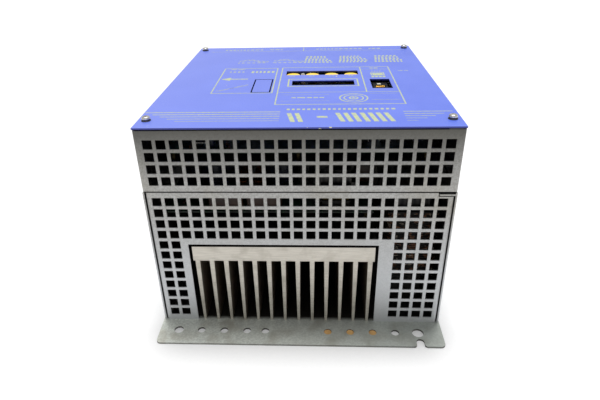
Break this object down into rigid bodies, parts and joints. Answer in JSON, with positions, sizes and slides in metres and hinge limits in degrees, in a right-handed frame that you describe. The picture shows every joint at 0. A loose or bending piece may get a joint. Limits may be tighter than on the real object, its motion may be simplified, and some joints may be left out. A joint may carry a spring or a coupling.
{
  "type": "motor drive",
  "caption": "Wall-mounted variable-speed motor drive: vented sheet-steel case on a flanged back plate, blue front cover with keys, display and jack, finned heatsink and fans.",
  "frame": {"origin": "middle of the back plate's underside, below the middle of the whole object's box", "axes": "+Z from the back plate out through the front cover; +Y from the air outlet end, where the heatsink shows, to the fan end; +X to the right when looking along +Y with the cover up"},
  "size_m": [0.304, 0.4004, 0.2314],
  "materials": {
    "galvanised_steel": "mill galvanised sheet, dull grey, fine spangle",
    "galvanised_base": "galvanised sheet, dull, handled",
    "blue_powder_coat": "satin powder coat with printed yellow lines",
    "extruded_aluminium": "sawn and extruded aluminium, matt",
    "zinc_plated_screw": "bright zinc plate",
    "dark_washer": "dark spring steel",
    "tan_plug": "natural tan plastic",
    "yellow_key": "moulded, slightly glossy",
    "black_plastic": "moulded black",
    "grey_plastic": "moulded grey",
    "white_plastic": "moulded white",
    "green_plastic": "moulded green terminal",
    "circuit_board": "green solder mask on glass epoxy",
    "display_glass": "dark polished glass",
    "gold_contact": "gold flashed",
    "brass": "turned brass",
    "copper": "bare copper",
    "enamelled_winding": "varnished copper winding",
    "laminated_iron": "stacked laminations, varnished",
    "capacitor_sleeve": "shrunk dark blue sleeve",
    "brown_film": "dipped brown film capacitor",
    "blue_plastic": "moulded blue",
    "yellow_tape": "taped winding",
    "ribbon": "flat grey ribbon cable",
    "rubber": "black rubber"
  },
  "bodies": {
    "case": {"base_plate": "galvanised_base", "side_wall_left": "galvanised_steel", "side_wall_right": "galvanised_steel", "outlet_end_plate": "galvanised_steel", "inlet_end_plate": "galvanised_steel", "hood_outlet_panel": "galvanised_steel", "hood_inlet_panel": "galvanised_steel", "hood_left_panel": "galvanised_steel", "hood_right_panel": "galvanised_steel", "front_cover": "blue_powder_coat", "cover_brackets": "galvanised_steel", "cover_screws": "zinc_plated_screw", "cover_washers": "dark_washer", "side_screws": "zinc_plated_screw", "flange_plugs": "tan_plug", "flap_hinge_pin": "zinc_plated_screw", "flap_hinge_brackets": "galvanised_steel", "key_switches": "black_plastic", "status_lamp": "white_plastic", "display_bezel": "black_plastic", "display_glass": "display_glass", "display_board": "circuit_board", "display_spacers": "brass", "service_jack": "black_plastic", "jack_contacts": "gold_contact", "memory_chip": "black_plastic", "memory_socket": "black_plastic", "control_shelf": "galvanised_steel", "control_board": "circuit_board", "control_spacers": "brass", "control_chips": "black_plastic", "control_terminals": "green_plastic", "ribbon_cable": "ribbon", "power_board": "circuit_board", "power_spacers": "brass", "storage_capacitors": "capacitor_sleeve", "dc_busbars": "copper", "snubber_capacitors": "brown_film", "current_sensors": "blue_plastic", "supply_transformer": "yellow_tape", "transistor_module": "white_plastic", "rectifier_module": "white_plastic", "module_pins": "gold_contact", "heatsink": "extruded_aluminium", "heatsink_brackets": "galvanised_steel", "fan_frames": "black_plastic", "fan_guards": "zinc_plated_screw", "fan_screws": "zinc_plated_screw", "choke_core": "laminated_iron", "choke_coils": "enamelled_winding", "choke_stand": "galvanised_steel", "power_terminals": "grey_plastic", "cable_grommets": "rubber"},
    "flap": {"access_flap": "blue_powder_coat"},
    "key_1_body": {"key_1": "yellow_key"},
    "key_2_body": {"key_2": "yellow_key"},
    "key_3_body": {"key_3": "yellow_key"},
    "key_4_body": {"key_4": "yellow_key"},
    "fan_left": {"fan_rotor_left": "black_plastic"},
    "fan_right": {"fan_rotor_right": "black_plastic"}
  },
  "joints": [
    {"name": "flap_hinge", "type": "hinge", "parent": "case", "child": "flap", "pos_m": [-0.04785, -0.03225, 0.223], "axis": [0, -1, 0], "range_deg": [0, 100]},
    {"name": "key_1_press", "type": "slide", "parent": "case", "child": "key_1_body", "axis": [0, 0, -1], "range_m": [0, 0.001], "stiffness_N_per_m": 1500, "springref_m": -0.001},
    {"name": "key_2_press", "type": "slide", "parent": "case", "child": "key_2_body", "axis": [0, 0, -1], "range_m": [0, 0.001], "stiffness_N_per_m": 1500, "springref_m": -0.001},
    {"name": "key_3_press", "type": "slide", "parent": "case", "child": "key_3_body", "axis": [0, 0, -1], "range_m": [0, 0.001], "stiffness_N_per_m": 1500, "springref_m": -0.001},
    {"name": "key_4_press", "type": "slide", "parent": "case", "child": "key_4_body", "axis": [0, 0, -1], "range_m": [0, 0.001], "stiffness_N_per_m": 1500, "springref_m": -0.001},
    {"name": "fan_left_spin", "type": "hinge", "parent": "case", "child": "fan_left", "pos_m": [-0.063, 0.14225, 0.05], "axis": [0, 1, 0], "continuous": true},
    {"name": "fan_right_spin", "type": "hinge", "parent": "case", "child": "fan_right", "pos_m": [0.031, 0.14225, 0.05], "axis": [0, 1, 0], "continuous": true}
  ]
}
